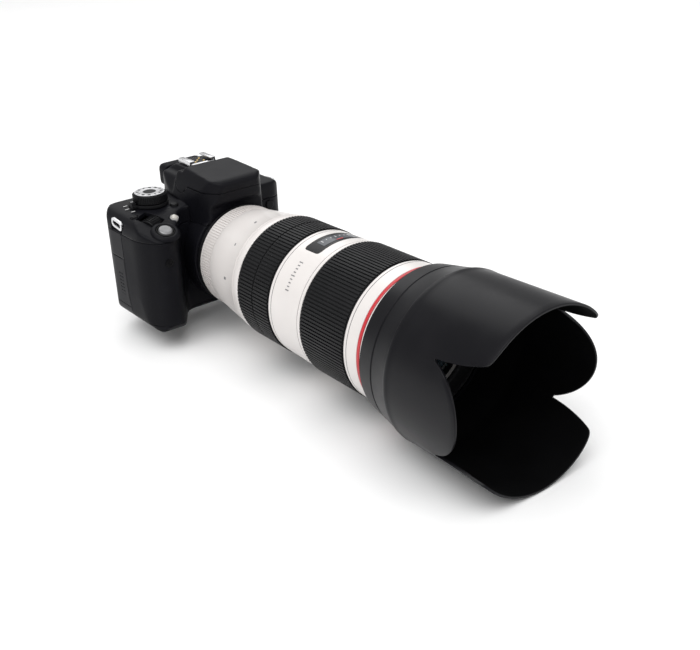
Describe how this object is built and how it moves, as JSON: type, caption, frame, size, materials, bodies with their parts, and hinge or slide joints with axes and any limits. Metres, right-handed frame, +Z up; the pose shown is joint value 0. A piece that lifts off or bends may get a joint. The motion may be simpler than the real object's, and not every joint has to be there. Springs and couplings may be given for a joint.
{
  "type": "camera",
  "caption": "Single-lens reflex camera with a pop-up flash, side-hinged rear screen and a long white zoom lens with ribbed rings and a petal hood.",
  "frame": {"origin": "On the base plane under the lens axis, in the focal plane", "axes": "+Z up, -Y the way the lens looks, +X to the right as seen from in front, with the grip at -X"},
  "size_m": [0.132, 0.3623, 0.1144],
  "materials": {
    "casing_plastic": "fine satin texture",
    "control_plastic": "smooth satin",
    "grip_rubber": "leather-like grain",
    "ring_rubber": "ribbed, matte",
    "dial_metal": "satin black, knurled",
    "white_paint": "warm white satin enamel",
    "red_paint": "satin red line",
    "hood_plastic": "satin outside, matt inside",
    "bright_steel": "brushed",
    "black_metal": "black anodised look",
    "optical_glass": "coated, dark",
    "mirror_coat": "front-silvered",
    "circuit_board": "solder mask",
    "battery_plastic": "smooth",
    "lamp_lens": "clear dome over silver"
  },
  "bodies": {
    "camera_body": {"front_cover": "casing_plastic", "rear_cover": "casing_plastic", "top_cover": "casing_plastic", "bottom_plate": "casing_plastic", "grip_rubber": "grip_rubber", "mirror_box": "casing_plastic", "body_mount_ring": "bright_steel", "pentamirror": "mirror_coat", "focusing_screen": "optical_glass", "eyepiece_lens": "optical_glass", "eyecup": "grip_rubber", "shutter_unit": "black_metal", "image_sensor": "optical_glass", "main_board": "circuit_board", "battery": "battery_plastic", "hot_shoe": "bright_steel", "strap_lug_grip_side": "bright_steel", "strap_lug_far_side": "bright_steel", "red_eye_lamp": "lamp_lens", "tripod_socket": "bright_steel"},
    "lens": {"lens_mount": "bright_steel", "rear_barrel": "white_paint", "inner_tube": "black_metal", "scale_barrel": "white_paint", "distance_window": "optical_glass", "switch_panel": "casing_plastic", "front_barrel": "white_paint", "red_ring": "red_paint", "front_element": "optical_glass", "rear_element": "optical_glass", "stabilizer_unit": "black_metal"},
    "screen": {"screen_hinge": "dial_metal", "screen_panel": "casing_plastic"},
    "flash_head": {"flash_head": "casing_plastic"},
    "reflex_mirror": {"reflex_mirror": "mirror_coat"},
    "mode_dial": {"mode_dial": "dial_metal"},
    "power_lever": {"power_lever": "dial_metal"},
    "main_dial": {"main_dial": "dial_metal"},
    "diopter_dial": {"diopter_dial": "dial_metal"},
    "battery_door": {"battery_door": "casing_plastic"},
    "card_door": {"card_door": "casing_plastic"},
    "terminal_cover": {"terminal_cover": "grip_rubber"},
    "zoom_ring": {"zoom_ring": "ring_rubber"},
    "focus_ring": {"focus_ring": "ring_rubber"},
    "zoom_group": {"zoom_group": "optical_glass"},
    "focus_group": {"focus_group": "optical_glass"},
    "focus_mode_switch": {"focus_mode_switch": "control_plastic"},
    "stabilizer_switch": {"stabilizer_switch": "control_plastic"},
    "hood": {"hood": "hood_plastic"},
    "cross_keys": {"cross_keys": "control_plastic"},
    "shutter_button": {"shutter_button": "dial_metal"},
    "iso_button": {"iso_button": "control_plastic"},
    "display_button": {"display_button": "control_plastic"},
    "flash_button": {"flash_button": "control_plastic"},
    "lens_release_button": {"lens_release_button": "control_plastic"},
    "menu_button": {"menu_button": "control_plastic"},
    "info_button": {"info_button": "control_plastic"},
    "live_view_button": {"live_view_button": "control_plastic"},
    "playback_button": {"playback_button": "control_plastic"},
    "set_button": {"set_button": "control_plastic"}
  },
  "joints": [
    {"name": "lens_twist", "type": "hinge", "parent": "camera_body", "child": "lens", "pos_m": [0, -0.044, 0.04], "axis": [0, -1, 0], "range_deg": [0, 60]},
    {"name": "zoom_turn", "type": "hinge", "parent": "lens", "child": "zoom_ring", "pos_m": [0, -0.121, 0.04], "axis": [0, -1, 0], "range_deg": [0, 80]},
    {"name": "zoom_shift", "type": "slide", "parent": "lens", "child": "zoom_group", "axis": [0, -1, 0], "range_m": [0, 0.022]},
    {"name": "focus_turn", "type": "hinge", "parent": "lens", "child": "focus_ring", "pos_m": [0, -0.194, 0.04], "axis": [0, -1, 0], "range_deg": [0, 130]},
    {"name": "focus_shift", "type": "slide", "parent": "lens", "child": "focus_group", "axis": [0, -1, 0], "range_m": [0, 0.012]},
    {"name": "focus_mode_slide", "type": "slide", "parent": "lens", "child": "focus_mode_switch", "axis": [0, -1, 0], "range_m": [0, 0.003]},
    {"name": "stabilizer_slide", "type": "slide", "parent": "lens", "child": "stabilizer_switch", "axis": [0, -1, 0], "range_m": [0, 0.003]},
    {"name": "hood_twist", "type": "hinge", "parent": "lens", "child": "hood", "pos_m": [0, -0.238, 0.04], "axis": [0, -1, 0], "range_deg": [0, 60]},
    {"name": "flash_lift", "type": "hinge", "parent": "camera_body", "child": "flash_head", "pos_m": [0, -0.0115, 0.092], "axis": [-1, 0, 0], "range_deg": [0, 72]},
    {"name": "mirror_swing", "type": "hinge", "parent": "camera_body", "child": "reflex_mirror", "pos_m": [0, -0.0086, 0.0572], "axis": [-1, 0, 0], "range_deg": [0, 45]},
    {"name": "mode_dial_turn", "type": "hinge", "parent": "camera_body", "child": "mode_dial", "pos_m": [-0.046, -0.0055, 0.084], "axis": [0, 0, 1], "continuous": true},
    {"name": "power_lever_turn", "type": "hinge", "parent": "camera_body", "child": "power_lever", "pos_m": [-0.046, -0.0055, 0.08], "axis": [0, 0, 1], "range_deg": [-25, 25]},
    {"name": "main_dial_turn", "type": "hinge", "parent": "camera_body", "child": "main_dial", "pos_m": [-0.0585, -0.0265, 0.0699], "axis": [0.8829, 0.4695, 0], "continuous": true},
    {"name": "diopter_turn", "type": "hinge", "parent": "camera_body", "child": "diopter_dial", "pos_m": [0.0206, 0.017, 0.087], "axis": [0, 0, 1], "range_deg": [-150, 150]},
    {"name": "screen_swing", "type": "hinge", "parent": "camera_body", "child": "screen", "pos_m": [0.0515, 0.0215, 0.034], "axis": [0, 0, -1], "range_deg": [0, 175]},
    {"name": "battery_door_swing", "type": "hinge", "parent": "camera_body", "child": "battery_door", "pos_m": [-0.0492, -0.023, 0.0002], "axis": [0, -1, 0], "range_deg": [0, 100]},
    {"name": "card_door_swing", "type": "hinge", "parent": "camera_body", "child": "card_door", "pos_m": [-0.0763, 0.0077, 0.029], "axis": [0, 0, -1], "range_deg": [0, 110]},
    {"name": "terminal_cover_swing", "type": "hinge", "parent": "camera_body", "child": "terminal_cover", "pos_m": [0.0583, -0.0118, 0.0375], "axis": [0, 0, -1], "range_deg": [0, 120]},
    {"name": "cross_keys_press", "type": "slide", "parent": "camera_body", "child": "cross_keys", "axis": [0, -1, 0], "range_m": [0, 0.0005], "stiffness_N_per_m": 400, "springref_m": -0.001},
    {"name": "shutter_press", "type": "slide", "parent": "camera_body", "child": "shutter_button", "axis": [0, 0.3584, -0.9336], "range_m": [0, 0.0015], "stiffness_N_per_m": 300, "springref_m": -0.001},
    {"name": "iso_press", "type": "slide", "parent": "camera_body", "child": "iso_button", "axis": [0, 0, -1], "range_m": [0, 0.0005], "stiffness_N_per_m": 300, "springref_m": -0.001},
    {"name": "display_press", "type": "slide", "parent": "camera_body", "child": "display_button", "axis": [0, 0, -1], "range_m": [0, 0.0005], "stiffness_N_per_m": 300, "springref_m": -0.001},
    {"name": "flash_press", "type": "slide", "parent": "camera_body", "child": "flash_button", "axis": [0, 1, 0], "range_m": [0, 0.0005], "stiffness_N_per_m": 300, "springref_m": -0.001},
    {"name": "lens_release_press", "type": "slide", "parent": "camera_body", "child": "lens_release_button", "axis": [0, 1, 0], "range_m": [0, 0.0022], "stiffness_N_per_m": 400, "springref_m": -0.001},
    {"name": "menu_press", "type": "slide", "parent": "camera_body", "child": "menu_button", "axis": [0, -1, 0], "range_m": [0, 0.0005], "stiffness_N_per_m": 300, "springref_m": -0.001},
    {"name": "info_press", "type": "slide", "parent": "camera_body", "child": "info_button", "axis": [0, -1, 0], "range_m": [0, 0.0005], "stiffness_N_per_m": 300, "springref_m": -0.001},
    {"name": "live_view_press", "type": "slide", "parent": "camera_body", "child": "live_view_button", "axis": [0, -1, 0], "range_m": [0, 0.0005], "stiffness_N_per_m": 300, "springref_m": -0.001},
    {"name": "playback_press", "type": "slide", "parent": "camera_body", "child": "playback_button", "axis": [0, -1, 0], "range_m": [0, 0.0005], "stiffness_N_per_m": 300, "springref_m": -0.001},
    {"name": "set_press", "type": "slide", "parent": "camera_body", "child": "set_button", "axis": [0, -1, 0], "range_m": [0, 0.0005], "stiffness_N_per_m": 300, "springref_m": -0.001}
  ],
  "couplings": [
    {"joint": "zoom_shift", "follows": "zoom_turn", "m_per_rad": 0.0157},
    {"joint": "focus_shift", "follows": "focus_turn", "m_per_rad": 0.00528}
  ]
}
